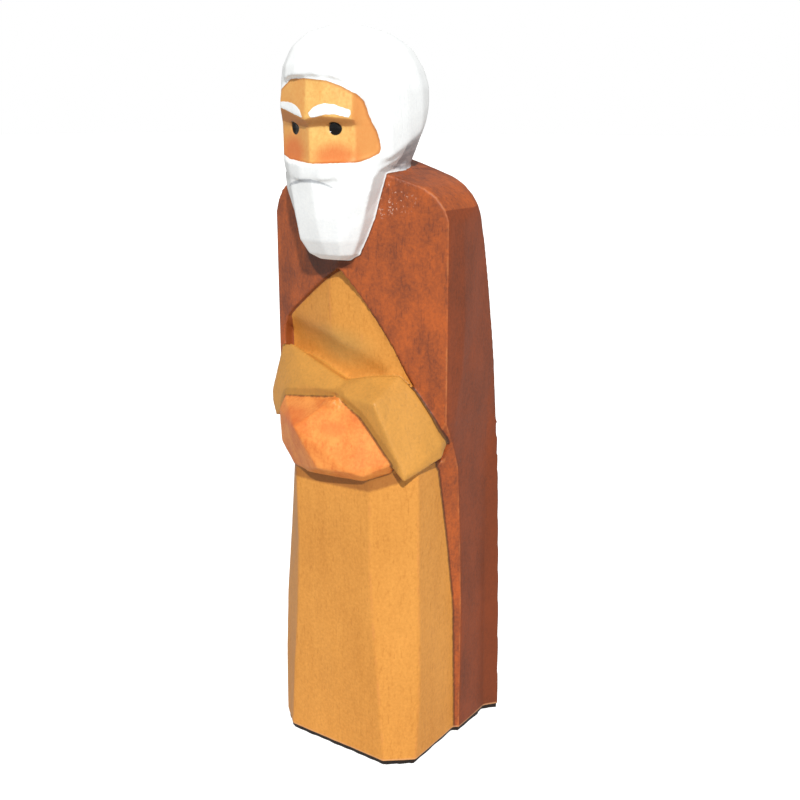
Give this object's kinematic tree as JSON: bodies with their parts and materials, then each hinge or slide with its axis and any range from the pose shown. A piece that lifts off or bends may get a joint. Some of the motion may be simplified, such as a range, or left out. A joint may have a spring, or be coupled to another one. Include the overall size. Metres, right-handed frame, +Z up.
{
  "type": "shepherd figurine",
  "caption": "Carved wooden figurine of a bearded old shepherd standing in a long robe and an open cloak with clasped hands, flat underneath.",
  "frame": {"origin": "centre of the flat underside, under the middle of the body", "axes": "+Z up along the body, the figure faces -Y and its left arm is on +X"},
  "size_m": [0.0438, 0.0413, 0.15],
  "materials": {
    "carved_wood": "stained and painted, satin"
  },
  "bodies": {
    "root": {"shepherd_figure": "carved_wood"}
  },
  "joints": []
}
